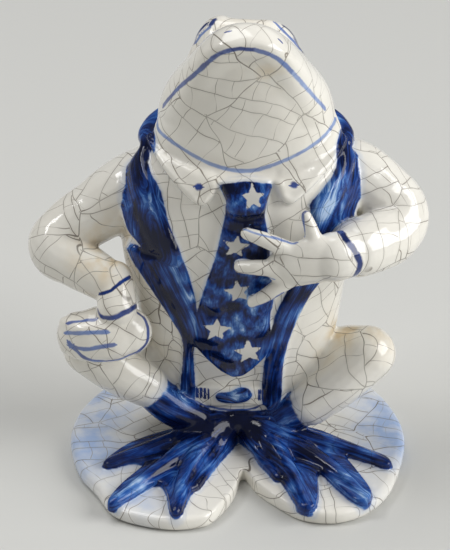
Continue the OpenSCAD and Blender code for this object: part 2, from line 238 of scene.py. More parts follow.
throatLine = [(-31, 124), (-28, 120.6), (-24.6, 116.8), (-19, 113.6), (-12, 111), (-5, 109.4), (2.5, 108.9),
              (9, 109.6), (16, 111.6), (24, 115), (29.6, 119), (34, 124)]
mouthLine = [(-23.6, 124.8), (-22.8, 126.3), (-18.6, 133.9), (-13.6, 143), (-8.7, 148.7), (-4.2, 152),
             (0.2, 153.5), (4.1, 153.3), (7.6, 152.1), (11.6, 149.4), (15, 145.7), (19.1, 139.5), (23, 133),
             (27, 125.2)]
overHead = [(34, 175), (-31, 175)]  # closes the throat line well above the head
clothes = {  # outlines seen from the front, x and z, and how far each stands up
    "lapelRight": {"rise": 2.4, "soft": 1.1, "outline": [
        (-26, 112), (-28.5, 106), (-24.3, 100), (-21.9, 90.5), (-17.2, 78), (-13.6, 63.7), (-13.1, 48.8),
        (-14.6, 42), (-14.2, 20), (-19, 20), (-17.6, 44.8), (-20.4, 54), (-27.2, 65.5), (-35.5, 78),
        (-30.6, 80.6), (-34.8, 84.5), (-38, 94), (-39.5, 102), (-34, 110.8), (-28, 116)]},
    "lapelLeft": {"rise": 2.4, "soft": 1.1, "outline": [
        (30.5, 112), (30.7, 106), (25.6, 101), (22.3, 97), (23.2, 90), (21, 80), (15.6, 67), (11.8, 58),
        (8.7, 40), (8.2, 20), (13.8, 20), (14.5, 37.5), (17.3, 52), (23.7, 66.3), (33, 78), (28, 82.5),
        (34.5, 86), (37.5, 92.5), (40, 96), (41.5, 103), (38.5, 109.5), (33, 116)]},
    "collar": {"rise": 3.5, "soft": 0.7, "outline": throatLine + [
        (33.6, 112), (30.6, 108.4), (26.4, 105.6), (22.4, 102.8), (18.4, 100.2), (15, 98.6), (12.2, 101.2),
        (9.9, 105), (2.5, 106.4), (-4.9, 104.8), (-7.8, 101), (-11.2, 98.2), (-14.9, 99.9), (-18.8, 103),
        (-23.4, 106.8), (-28.2, 110.8), (-30, 113)]},
    "knot": {"rise": 4.2, "soft": 1.6, "outline": [
        (-5.8, 105.8), (-1, 107), (2.5, 107.4), (6, 107), (10.2, 106), (8.7, 100.6), (8, 97.4), (6, 95.8),
        (-1.4, 95.6), (-3.5, 97.4), (-3.8, 100.6)]},
    "blade": {"rise": 2.8, "soft": 1.2, "outline": [
        (-3, 100), (-4, 95.6), (-5.2, 90.3), (-7, 81.6), (-9.6, 73), (-13.4, 59), (-14.8, 53),
        (-13.6, 46.2), (-1.6, 33.4), (7.6, 41), (10.4, 48.4), (9.9, 58.3), (11, 64.5), (10, 78), (8.8, 90),
        (7.9, 95.6), (7.4, 100)]},
    "band": {"rise": 1.6, "soft": 0.9, "outline": [(-17, 20), (-17, 28), (12, 28), (12, 20)]},
    "buckle": {"rise": 2.7, "soft": 1.0, "outline": [
        (-7.2, 23.6), (-5.4, 21.8), (-1, 21.4), (2.6, 22.2), (4.6, 24.6), (3.4, 27.4), (0, 27.8), (-3, 26),
        (-6.2, 25.6)]},
}
creases = [  # pressed lines on the clothes: x z points, half width, depth (less than 0 is a ridge)
    ([(-37.5, 81), (-33, 80.8), (-29, 78.6), (-25, 79.2)], 1.0, 0.9),
    ([(-35.5, 79), (-31, 78.6), (-28, 76.6)], 0.8, -0.5),
    ([(-34.5, 100), (-31.5, 90), (-27, 80)], 1.3, 0.45),
    ([(-27.5, 74), (-21, 62), (-16.8, 50)], 1.0, 0.45),
    ([(35, 103), (30, 93), (26.5, 85)], 1.3, 0.5),
    ([(22, 66), (15.5, 52), (12.6, 38)], 1.0, 0.45),
    ([(-3.6, 96.2), (1.8, 95), (8.4, 96.6)], 0.9, 0.9),
    ([(-4, 92), (1, 90.4), (5, 91.6), (9.5, 90)], 1.1, 0.7),
    ([(-5.4, 84), (-1, 80.6), (4, 82)], 1.3, 0.5),
    ([(-9.4, 73.6), (-4, 71.4), (1.4, 73.6), (6, 71)], 1.3, 0.6),
    ([(-11.6, 62.6), (-6, 60), (0, 63), (4.5, 58.8), (9.8, 60.6)], 1.4, 0.7),
    ([(-12.6, 55.6), (-7.6, 58.4), (-3, 57)], 1.0, -0.4),
    ([(-11.4, 49), (-6, 48), (0.4, 50.6), (5.6, 50), (10, 53)], 1.3, 0.6),
    ([(-8.4, 43.6), (-2, 40.6), (4.4, 43.6)], 1.2, 0.5),
    ([(-23, 105.2), (-17.6, 102.2), (-12.4, 100.7), (-8.6, 103.4)], 0.7, 0.5),
    ([(11.8, 103.2), (15.4, 101.4), (20, 102.2), (25, 105.6)], 0.7, 0.5),
    ([(-8, 110.2), (-6.4, 106.8)], 0.8, 0.4), ([(12, 110.4), (11, 106.8)], 0.8, 0.4),
]


def alongPath(points, spots):  # distance to a path of x z points
    near = np.full(len(spots), 1e9)
    path = rounded(points, 4, loop=False)
    for a, b in zip(path, path[1:]):
        a, b = np.array(a), np.array(b)
        t = np.clip((spots - a) @ (b - a) / max((b - a) @ (b - a), 1e-9), 0, 1)
        near = np.minimum(near, np.linalg.norm(spots - a - t[:, None] * (b - a), axis=1))
    return near


relief = {"frontOf": 10, "collarRoll": 0.8, "collarUnderChin": 0.25, "silkRipple": 0.35, "rippleLength": 3.1,
          "chinFrom": 106, "throatHollow": 1.9, "lip": 0.55, "lipWide": 1.6}


def layClothes(thing):
    spots, normals = readMesh(thing)
    x, y, z = spots.T
    front = ease(relief["frontOf"] - y, 0, 3) * ease(0.2 - normals[:, 1], 0, 0.3)
    rise = np.zeros(len(x))
    for name, cloth in clothes.items():
        inside = insideOf(curved(cloth["outline"]), x, z)
        height = cloth["rise"] * ease(inside, -cloth["soft"] * 0.6, cloth["soft"] * 0.7)
        if name == "collar":  # fades into the throat above and rolls over at its lower edge
            above = insideOf(curved(throatLine, loop=False) + overHead, x, z)
            height *= relief["collarUnderChin"] + (1 - relief["collarUnderChin"]) * ease(-above, 0, 5)
            height += relief["collarRoll"] * np.exp(-((inside - 1.3) / 1.1) ** 2) * ease(-above, 3, 6)
        if name == "blade":  # the silk ripples
            ripple = np.sin(z / relief["rippleLength"] + 0.25 * x)
            height += relief["silkRipple"] * ripple * ease(inside, 0.5, 3)
        rise = np.maximum(rise, height)
    flat = np.stack([x, z], 1)
    for path, half, depth in creases:
        rise -= depth * np.exp(-(alongPath(path, flat) / half) ** 2) * ease(rise, 0.4, 1.6)
    mouth = curved(mouthLine, loop=False)
    throat = curved(throatLine[1:-1], loop=False)
    hollow = insideOf(mouth + throat[::-1], x, z)
    under = z > relief["chinFrom"]
    rise = np.where(under, rise - relief["throatHollow"] * ease(hollow, 0.2, 8) * ease(z - 108, 0, 14), rise)
    lip = relief["lip"] * np.exp(-((hollow + relief["lipWide"]) / relief["lipWide"]) ** 2)
    rise += np.where(under, lip * ease(z, 122, 130), 0)
    writeMesh(thing, spots + normals * (rise * front)[:, None])


layClothes(figure)
applyModifier(figure, "SMOOTH", factor=0.5, iterations=casting["softenClothes"])
report("clothes laid on")


def treeOf(things):  # one search tree over several forms
    corners, faces = [], []
    for thing in things:
        base = len(corners)
        corners += [v.co.copy() for v in thing.data.vertices]
        faces += [[base + i for i in polygon.vertices] for polygon in thing.data.polygons]
    return BVHTree.FromPolygons(corners, faces)


# eyes, collar band, arms
eyes = {"sizes": (5.6, 7.2, 8), "nod": -12, "right": (-7.4, 8.4, 145, 34), "left": (12, 8.4, 143.4, -41)}
whiteForms, blueForms = [], []
for side in ("right", "left"):
    x, y, z, lean = eyes[side]
    whiteForms.append(ball((x, y, z), eyes["sizes"], (eyes["nod"], lean, 0)))
brows = [[(-14.1, 4, 137.8, 3), (-11.5, 6.5, 141.2, 3.6), (-8, 8, 146, 4.2)],
         [(19.8, 4, 136.2, 3), (17.2, 6.5, 139, 3.6), (12.6, 8, 144, 4.2)],
         [(-5.5, 8, 147.4, 4.8), (2, 7, 146.8, 5.2), (9, 8, 146.6, 4.8)]]
for points in brows:
    whiteForms.append(roll(points))
napeBand = [(-29, 8, 109.4, 2.2), (-28.8, 15, 109.4, 3.2), (-23.6, 24.4, 110.4, 3.8), (-12, 31.4, 111.4, 3.8),
            (2.5, 34, 111.8, 3.8), (17, 31.4, 111.4, 3.8), (28.6, 24.4, 110.4, 3.8), (33.6, 15, 109.4, 3.2),
            (34, 8, 109.4, 2.2)]
blueForms.append(roll(napeBand))
arms = {
    "sleeveRight": [(-24, 13, 94, 13), (-35, 12.5, 89.6, 12.2), (-46, 10.5, 83.4, 10.3),
                    (-55.4, 8, 77.4, 9.5), (-58.6, 4.6, 74, 9.1), (-52, 0.6, 70.4, 8.3),
                    (-45, -3.6, 68, 7.5), (-40.4, -6.6, 66.4, 6.8)],
    "sleeveLeft": [(24, 14, 96, 13), (36, 13, 95, 12.4), (45, 10, 90.6, 11), (51.2, 6, 85.8, 9.7),
                   (49, -0.6, 82.2, 9.6), (42, -8, 82.2, 9.7), (37.4, -12.2, 82.6, 9.3)],
    "cuffRight": [(-39.6, -5.4, 67.8, 6), (-38.9, -9.5, 64.2, 6.2), (-38.6, -12.2, 61, 6.5)],
}
cuffLeft = {"points": [(37.4, -12.4, 82.8, 7.4), (32.6, -17.2, 83.2, 8), (29.4, -19.4, 83.4, 8.2)],
            "flat": (1, 0.86, 1)}
for points in arms.values():
    whiteForms.append(roll(points))
whiteForms.append(roll(**cuffLeft))

# hands
hands = {
    "rightPalm": [(-35.4, -11, 51.4, 8), (-39.5, -11.4, 51, 9.2), (-46, -11, 50.2, 9.2),
                  (-51, -10, 49.8, 7.6)],
    "rightFingers": [[(-42, -16.4, z + 0.6, 2.9), (-50, -15.2, z, 2.8), (-55.2, -10.8, z - 0.4, 2.5)]
                     for z in (54.6, 50.4, 46.2)],
    "leftPalm": [(30, -18.4, 83.4, 7.2), (24, -20.4, 83.2, 7.8), (17, -20.6, 81.4, 7.2),
                 (13.6, -20.2, 80.6, 5.6)],
    "leftFingers": [[(16, -20.4, 86.4, 2.9), (8, -20.3, 90.2, 2.5), (2.4, -18.8, 91.6, 2.0)],
                    [(16, -20.6, 80, 2.9), (7, -20.5, 80.4, 2.6), (0.4, -18.9, 79.8, 2.1)],
                    [(16, -20.4, 76.4, 2.9), (9.4, -20.2, 71, 2.4), (4.4, -18.3, 66.6, 1.9)]],
    "leftThumb": [(24, -20, 86, 3.4), (22.6, -19, 92.4, 2.4), (20.8, -17.2, 97, 1.8)],
    "leftFlat": (1, 0.58, 1.05),
}
whiteForms.append(roll(hands["rightPalm"]))
whiteForms.append(roll(hands["leftPalm"], hands["leftFlat"]))
for points in hands["rightFingers"] + hands["leftFingers"] + [hands["leftThumb"]]:
    whiteForms.append(roll(points))
report("arms and hands rolled")

# legs, socks, feet
legs = {"knee": {1: (42.6, 0, 36.4), -1: (-48, -3, 40.6)},
        "ankle": {1: (24, -5.4, 20.2), -1: (-30.5, -5, 27.4)},
        "kneeRadius": 9.4, "seat": [(14, 14, 20, 13), (24, 9, 25, 12.4)],
        "sock": {1: (19, -5, 17, 6.4), -1: (-22, -5, 19, 6.4)}, "sockEnd": (14, -5, 14, 5.7)}
heels = {"side": [(6.2, -4.6, 10.6, 6.2), (10, -6.6, 9.8, 7), (18, -10.6, 7, 5.4)],
         "toeRoot": (9, -7, 9.8, 5),
         "shinRoot": (4.4, -6, 10.6, 4.6),
         # between: a blue roll that darkens the gap between the heels, partly cobalt and partly painted shade
         "between": [(-2, -3.6, 12.4, 4.6), (1, -4, 12.8, 4.8), (3, -3.6, 12.4, 4.6)]}
feet = {
    -1: {"outline": [(-0.4, -3), (-0.8, -8), (-4.4, -15.4), (-9.1, -24), (-12.6, -32), (-15.4, -37),
                     (-17.2, -43.4), (-18, -47.2), (-20, -48.8), (-21.6, -46.6), (-22.4, -39.6),
                     (-23.8, -33.8), (-26, -31.6), (-28.8, -33.2), (-33.4, -38.2), (-38.6, -43.2),
                     (-41.4, -43.4), (-41.6, -40.4), (-38, -32.6), (-33.4, -25.6), (-31, -21.4),
                     (-32.2, -19.4), (-35.6, -19.2), (-41.4, -21.8), (-44.2, -20.8), (-42.8, -17),
                     (-36, -8.6), (-26, -2), (-19.4, 0.6), (-10, 2)],
         "toes": [[(-27.4, -11.6), (-41.6, -19.4)], [(-26, -25.2), (-39.4, -41.4)],
                  [(-17.4, -30), (-19.8, -46.4)]],
         "shin": [(-6, -12), (-14, -33)]},
    1: {"outline": [(0.4, -3), (0.8, -7), (8.9, -18.2), (15, -32), (18.4, -42.4), (20.2, -45.4),
                    (22.8, -45.8), (24.8, -43.2), (25.6, -35.2), (25.6, -27.6), (26.8, -25), (28.4, -27),
                    (32.8, -35), (36.8, -41), (39.2, -42.4), (41.6, -41.4), (42.8, -38), (42.4, -34),
                    (38, -22.8), (35.6, -16.8), (37.2, -14.4), (43.3, -18.6), (47.8, -22), (50.4, -20.8),
                    (49.2, -16.8), (43.6, -12.6), (34, -5.8), (24.3, 0.6), (10, 2)],
        "toes": [[(35.8, -13), (48.2, -20)], [(29.9, -23), (40.4, -40.4)], [(16.6, -25.6), (22, -43.4)]],
        "shin": [(7, -15), (13, -28)]},
}
padTop = 5
webLevels = [(padTop - 1.5, 1), (padTop + 1.5, 1), (padTop + 2.3, 0.985), (padTop + 2.6, 0.955)]


def onSide(side, point):
    return (side * point[0], *point[1:])


for side in (-1, 1):
    knee, ankle, r = legs["knee"][side], legs["ankle"][side], legs["kneeRadius"]
    whiteForms.append(roll([onSide(side, point) for point in legs["seat"]]
                           + [(0.55 * knee[0] + side * 14, 4.4, 0.5 * knee[2] + 14, 10.8), (*knee, r)]))
    shin = [0.5 * (a + b) for a, b in zip(knee, ankle)]
    whiteForms.append(roll([(*knee, r), (shin[0], shin[1] - 1, shin[2] - 0.6, r * 0.88), (*ankle, r * 0.78)]))
    blueForms.append(roll([(ankle[0] + side, ankle[1] + 0.4, ankle[2] + 0.6, 5.8), legs["sock"][side],
                           onSide(side, legs["sockEnd"])]))
    blueForms.append(slab("web", rounded(feet[side]["outline"], 3), webLevels))
    blueForms.append(roll([onSide(side, point) for point in heels["side"]]))
    for middle, tip in feet[side]["toes"]:
        blueForms.append(roll([onSide(side, heels["toeRoot"]), (*middle, 7.2, 2.7), (*tip, 6.5, 1.7)]))
    ridge = [(x, y, 7.4 - i, 2.2 - 0.5 * i) for i, (x, y) in enumerate(feet[side]["shin"])]
    blueForms.append(roll([onSide(side, heels["shinRoot"])] + ridge))
blueForms.append(roll(heels["between"]))
report("legs and feet rolled")

# lily pad
padShape = {"levels": [(0, 0.97), (0.8, 0.99), (2, 1), (3.4, 0.998), (4.5, 0.985), (5, 0.955)],
            "outline": [(1.5, -20.6), (-1.4, -33), (-8.3, -45.4), (-14, -48.6), (-22, -49.4), (-32, -47),
                        (-40.6, -42), (-46, -31.5), (-52, -21), (-55.3, -8), (-55.9, 4), (-53, 17),
                        (-45, 31), (-33, 43), (-17, 51.5), (0, 54), (17, 52), (33, 44), (46.4, 30),
                        (53, 16.5), (55.9, 3), (55, -10), (50, -29), (43, -39.8), (36, -44.6), (28.5, -46),
                        (20, -43.8), (12.2, -36.6), (6, -29)]}
rim = rounded(padShape["outline"], 4)
whiteForms.append(slab("pad", rim, padShape["levels"]))

# luting the pieces and glazing over the joints
glazeCoat = {"voxel": 0.62, "soften": 6}
paintGuides = {"figure": treeOf([figure]), "white": treeOf(whiteForms), "blue": treeOf(blueForms)}
whole = join([figure] + whiteForms + blueForms)
whole.name = "luted"
applyModifier(whole, "REMESH", mode="VOXEL", voxel_size=glazeCoat["voxel"] * mm)
applyModifier(whole, "SMOOTH", factor=0.5, iterations=glazeCoat["soften"])
report("luted and glazed: %d points" % len(whole.data.vertices))
wholeSpots, wholeNormals = readMesh(whole)
wholeSpots[:, 2] = np.maximum(wholeSpots[:, 2], 0)
writeMesh(whole, wholeSpots)


# hollow, as a slip casting is, with a vent in the foot
def shrunk(rings, wall):
    return [(x, y, z, lean, half - wall, front - wall, back - wall)
            for x, y, z, lean, half, front, back in rings]


def carve(thing, tool, operation="DIFFERENCE", keepTool=False):
    applyModifier(thing, "BOOLEAN", object=tool, operation=operation, solver="MANIFOLD")
    if not keepTool:
        bpy.data.objects.remove(tool)


hollow = {"wall": 4, "headWall": 4.6, "ventAcross": 9, "ventAt": (0, 12, 3), "ventDeep": 20}
inside = [stackForm("inner", shrunk(casting["body"][:-1], hollow["wall"]), sides=24),
          stackForm("innerHead", shrunk(casting["head"][:7], hollow["headWall"]), sides=24)]
bpy.ops.mesh.primitive_cylinder_add(vertices=48, radius=hollow["ventAcross"] / 2 * mm,
                                    depth=hollow["ventDeep"] * mm, location=place(hollow["ventAt"]))
inside.append(bpy.context.active_object)
for tool in inside:
    selectOnly(tool)
    bpy.ops.object.transform_apply(location=True, rotation=True, scale=True)
    carve(whole, tool)
report("hollowed")


# cut along the joints, so that every clay part is a solid of its own
def copyOf(thing, name):
    twin = bpy.data.objects.new(name, thing.data.copy())
    bpy.context.scene.collection.objects.link(twin)
    return twin


def letOut(node, by):  # the node's own solid, let out a little all round
    cell = copyOf(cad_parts[node], node + "Cell")
    inEditMode(cell, bpy.ops.mesh.remove_doubles, threshold=1e-6)
    applyModifier(cell, "DISPLACE", strength=by * mm, mid_level=0)
    applyModifier(cell, "REMESH", mode="VOXEL", voxel_size=cutting["voxel"] * mm)
    return cell


def split(stock, cell, name):  # what lies in the cell becomes a piece, the stock keeps the rest
    piece = copyOf(stock, name)
    carve(piece, cell, "INTERSECT", keepTool=True)
    carve(stock, cell)
    return piece


def headCell():
    cell = stackForm("headCell", shrunk(casting["head"], -cutting["letOut"]["head"]) + [cutting["snout"]])
    front, back = cutting["headDepth"]
    mask = stackSections("headMask", [[(x, y, z) for x, z in throatLine + overHead] for y in (front, back)])
    carve(cell, mask, "UNION")
    return cell


source = copyOf(whole, "glazeSlopes")  # the uncut shape keeps the true slopes
for shape in (source.data, whole.data):
    shape.polygons.foreach_set("use_smooth", np.ones(len(shape.polygons), bool))
pieces = {}
cutting = {
    "padCut": padTop + 0.35, "voxel": 0.9, "smallestOffcut": 40,
    "snout": (2, -17, 158, 35, 6, 2, 6), "headDepth": (-40, 8),
    "letOut": {"belt_buckle": 0.7, "tie_knot": 0.9, "tie_blade": 0.9, "lapel_right": 1.0, "lapel_left": 1.0,
               "shirt_collar": 1.0, "waistband": 0.9, "hand_right": 1.2, "cuff_right": 1.2,
               "sleeve_right": 1.0, "hand_left": 1.8, "cuff_left": 2.0, "sleeve_left": 1.0,
               "jacket_collar": 1.8, "foot_right": 1.3, "sock_right": 1.2, "leg_right": 1.0,
               "foot_left": 1.3, "sock_left": 1.2, "leg_left": 1.0, "eye_right": 0.7, "eye_left": 0.7,
               "head": 1.5},
    "groups": [  # cut off together, the last of a group takes what is left over
        ("belt_buckle", "tie_knot", "tie_blade", "lapel_right", "lapel_left", "shirt_collar", "waistband"),
        ("hand_right", "cuff_right", "sleeve_right"), ("hand_left", "cuff_left", "sleeve_left"),
        ("jacket_collar",),
        ("foot_right", "sock_right", "leg_right"), ("foot_left", "sock_left", "leg_left"),
        ("eye_right", "eye_left", "head")],
}


def takeApart():
    deep = 1 + cutting["padCut"] * mm
    bpy.ops.mesh.primitive_cube_add(size=1, location=(0, 0, cutting["padCut"] * mm - deep / 2))
    padCell = bpy.context.active_object
    padCell.scale = (1, 1, deep)
    bpy.ops.object.transform_apply(location=True, rotation=True, scale=True)
    pieces["lily_pad"] = split(whole, padCell, "lilyPadGlazed")
    for group in cutting["groups"]:
        cells = {node: headCell() if node == "head" else letOut(node, cutting["letOut"][node])
                 for node in group}
        if len(cells) == 1:
            pieces[group[0]] = split(whole, cells[group[0]], group[0])
            continue
        mould = join([copyOf(cell, "mould") for cell in cells.values()])
        applyModifier(mould, "REMESH", mode="VOXEL", voxel_size=cutting["voxel"] * mm)
        stock = split(whole, mould, "stock")
        for node in group[:-1]:
            pieces[node] = split(stock, cells[node], node)
        bpy.data.objects.remove(cells[group[-1]])
        pieces[group[-1]] = stock
    pieces["torso"] = whole


def shareOut():  # each part keeps its biggest shell, and its other shells go to the nearest other part
    depsgraph = bpy.context.evaluated_depsgraph_get()
    guides = {node: BVHTree.FromObject(thing, depsgraph) for node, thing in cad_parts.items()}
    loose = []
    for node in pieces:
        inEditMode(pieces[node], bpy.ops.mesh.separate, type="LOOSE")
        shells = sorted(bpy.context.selected_objects, key=lambda shell: -len(shell.data.vertices))
        pieces[node] = shells[0]
        loose += [(node, shell) for shell in shells[1:]]
    for node, shell in loose:
        count = len(shell.data.vertices)
        if count < cutting["smallestOffcut"]:
            bpy.data.objects.remove(shell)
            continue
        middle = sum((v.co for v in shell.data.vertices), Vector()) / count
        near = min((n for n in guides if n != node), key=lambda n: guides[n].find_nearest(middle)[3])
        pieces[near] = join([pieces[near], shell])


takeApart()
report("cut into %d parts" % len(pieces))
shareOut()
for piece in pieces.values():
    applyModifier(piece, "DATA_TRANSFER", object=source, use_loop_data=True,
                  data_types_loops={"CUSTOM_NORMAL"}, loop_mapping="POLYINTERP_NEAREST")
report("offcuts shared out, slopes kept")
bpy.data.objects.remove(source)

# cobalt brushwork
blueParts = ("jacket_collar", "lapel_right", "lapel_left", "tie_knot", "tie_blade", "belt_buckle",
             "sock_right", "sock_left", "foot_right", "foot_left")
fineLines = {  # name: half width, how dark, then the points the brush passed
    "mouthRight": (0.78, 0.6, [(-23.6, 3, 124.8), (-22.7, 1.6, 126.5), (-21.8, 0.4, 128.3),
        (-20.6, -1.3, 130.6), (-18, -4.4, 135), (-14.1, -9.7, 140.9), (-10.2, -13.5, 146.4),
        (-6.5, -16.2, 150.9), (-2.8, -17.2, 152.9)]),
    "mouthMiddle": (0.7, 0.7, [(-8, -15.2, 149.4), (-6.5, -16.2, 150.9), (-2.8, -17.2, 152.9),
        (0.9, -17.2, 153.3), (4.7, -17.3, 153)]),
    "mouthLeft": (0.78, 0.5, [(4.7, -17.3, 153), (8.4, -16.9, 151.6), (12.2, -15.2, 148.6),
        (16, -12.4, 143.4)]),
    "mouthLeftEnd": (0.72, 0.32, [(16, -12.4, 143.4), (20, -8.7, 137.1), (24.1, -4.3, 130.3),
        (26.6, -1.3, 125.9)]),
    "throat": (0.66, 0.3, [(-27.6, 9, 120.6), (-25.2, 4.2, 116.6), (-21.3, -2.2, 115.6),
        (-15.7, -6.5, 113.6), (-10.1, -8.5, 111.2), (-4.6, -9.6, 109.6), (0.4, -10.1, 108.9),
        (5.3, -10, 109.2), (11.2, -9.4, 110.9), (18.9, -7.5, 113.8), (25.8, -3.1, 116.8),
        (30.6, 5, 119.6)]),
    "nostrilRight": (0.4, 0.7, [(-4.1, -12.3, 156.5), (-2.6, -12.4, 156.9)]),
    "nostrilLeft": (0.4, 0.7, [(11.8, -12.3, 154.2), (12.8, -12.4, 153.2)]),
    "studRight": (1.15, 0.75, [(-12.6, -13.3, 105), (-12.2, -13.3, 105)]),
    "studLeft": (1.1, 0.7, [(16.8, -12.9, 105.4), (17.2, -12.9, 105.4)]),
    "belt": (0.5, 0.65, [(-16.4, -6.1, 22.5), (-13.8, -5.5, 20.9), (-8.5, -4.2, 18), (-1.3, -4.5, 17.1),
        (5.7, -4.3, 17.8), (8.9, -6.2, 20.6)]),
    "sleeveRight": (0.65, 0.8, [(-43.9, -12.6, 66.3), (-40.6, -13.8, 68.1), (-37.5, -11.9, 69.9),
        (-34.5, -8, 69.9)]),
    "cuffRight": (0.95, 0.75, [(-44.6, -14.2, 61), (-43.6, -16, 60.2), (-41.6, -17.7, 60.5),
        (-38.7, -18.5, 61.3), (-35.5, -17.5, 62.6), (-32.5, -13.4, 62.3), (-30.8, -11.6, 60.6)]),
    "handRight": (0.9, 0.66, [(-30.8, -11.6, 60.6), (-29.4, -12.3, 57.4), (-28.7, -14.7, 53),
        (-29.3, -15.5, 50), (-31.1, -16.6, 48.1), (-32.5, -15.8, 45.8)]),
    "handRightLow": (0.9, 0.55, [(-31, -16.4, 48.6), (-32.8, -16.8, 47.2), (-36.8, -18.1, 45.4),
        (-41, -18.4, 44.7), (-45.1, -18.5, 44.9), (-48.8, -18.5, 46), (-51.6, -17.6, 48.2),
        (-54, -16.6, 50.6)]),
    "fingerRightA": (0.72, 0.55, [(-54.3, -13.9, 56.3), (-49.8, -14.5, 57.4), (-45.6, -15.4, 58.4)]),
    "fingerRightB": (0.72, 0.38, [(-55, -15.2, 53.4), (-48.7, -18.4, 55.4), (-41.6, -19, 56.1)]),
    "fingerRightC": (0.78, 0.5, [(-53.7, -16.9, 49.6), (-49.4, -19.1, 49.8), (-43.9, -20.3, 51.3),
        (-39.5, -20.4, 52.1)]),
    "cuffLeft": (1.25, 0.85, [(31.2, -15.6, 91), (33.1, -20.4, 90.6), (35.3, -22.1, 88.3),
        (36.9, -22.6, 85.4), (37.6, -22.4, 82.5), (36.8, -21.8, 79.3), (34.6, -19.6, 76)]),
    "thumbLeft": (0.6, 0.45, [(20.4, -19.6, 91.2), (20.2, -19.4, 94), (19.9, -18, 97.6)]),
    "thumbTip": (0.8, 0.6, [(20, -17.2, 98.3), (20.2, -17.2, 98.5)]),
    "indexTop": (0.45, 0.25, [(1.6, -19, 93.2), (5.9, -21.2, 93), (10.4, -21.8, 92)]),
    "knuckle": (0.62, 0.4, [(10.4, -21.4, 91.8), (14.3, -21, 90.2), (17.7, -21, 89.5)]),
    "middleLow": (0.42, 0.25, [(0.2, -19.4, 77.4), (6, -21.4, 77.6), (11, -22.4, 77.4)]),
    "littleLow": (0.5, 0.5, [(4, -18.9, 65.2), (8.6, -20.6, 68.6), (13.4, -21.6, 73)]),
    "eyeRightRim": (0.85, 0.85, [(-13.9, 7.4, 144), (-12.9, 8.1, 146.5), (-11.3, 7.8, 149),
        (-10.1, 8, 150.2)]),
    "eyeRightLid": (0.62, 0.45, [(-13.2, 6, 145.1), (-11, 5.2, 148.5), (-8.8, 5.3, 150.4)]),
    "eyeRightCorner": (1.0, 0.75, [(-8.5, 6.3, 151), (-7.6, 7.7, 151.7)]),
    "eyeLeftRim": (0.85, 0.85, [(14.2, 9.4, 149.2), (15.9, 9, 147.4), (17.4, 8, 145.5), (18.8, 7.4, 143.6),
        (19.8, 6.8, 141.6)]),
    "eyeLeftLid": (0.66, 0.5, [(11.1, 8, 150.7), (12.9, 6.6, 149.4), (15.1, 5.5, 147.5), (17.2, 5.8, 144.9),
        (19.2, 6.6, 142.2)]),
}
for number, x in enumerate((-13.6, -12.2, -10.9, -9.6, 6.8, 8.2)):  # belt loops, a stroke each
    fineLines["beltLoop%d" % number] = (0.4, 0.75, [(x, -6.3, 26.6), (x, -5.4, 22.6)])
stars = [  # on the tie, middle x and z, reach, turn in degrees
    (4.3, 102.8, 4.2, 4), (-0.9, 85.7, 4.3, -8), (-0.2, 69.1, 4.4, 10), (-6.9, 54.3, 4.8, -4),
    (3.3, 45.2, 5, 6)]
brushPaths = [  # the way the loaded brush was drawn over each blue part
    [(-31, 8, 112), (-33, -12, 101), (-29, -14, 90), (-26.4, -14, 80)],
    [(-29, -14, 79), (-21, -14, 63), (-16, -12, 48), (-16.6, -6, 20)],
    [(34, 8, 112), (35, -10, 100), (30, -14, 88), (27, -14, 80)],
    [(26, -14, 74), (17, -13, 57), (11.4, -9, 38), (10.6, -5, 20)],
    [(2, -17, 107), (1.4, -17, 96), (2.6, -16, 84), (0, -16, 70), (-1, -15, 56), (-1.6, -13, 34)],
    [(-6, -9, 17), (-24, -14.4, 10), (-42, -22.8, 8)], [(-5, -12, 15), (-24, -25, 9), (-40.4, -42.6, 7)],
    [(-2, -13, 13), (-13.6, -27, 9), (-21, -46.6, 7)], [(6, -9, 17), (28, -14.4, 10), (48.4, -22.2, 8)],
    [(5, -12, 15), (25, -23, 9), (41.8, -40, 7)], [(2, -13, 13), (17, -25, 9), (23.4, -43.6, 7)],
    [(-34, -8, 28), (-22, -10, 20), (-12, -9, 15)], [(26, -8, 22), (14, -9, 15)],
    [(-36, 9, 107), (-29, 22, 111), (-12, 34, 113), (2.5, 37, 113), (17, 34, 113), (34, 22, 111),
     (40, 9, 107)]]
brushGrain = {"tiePath": 4, "tie": (0.6, 4.0), "others": (1.0, 1.0)}  # dabbed round the stars, else drawn out
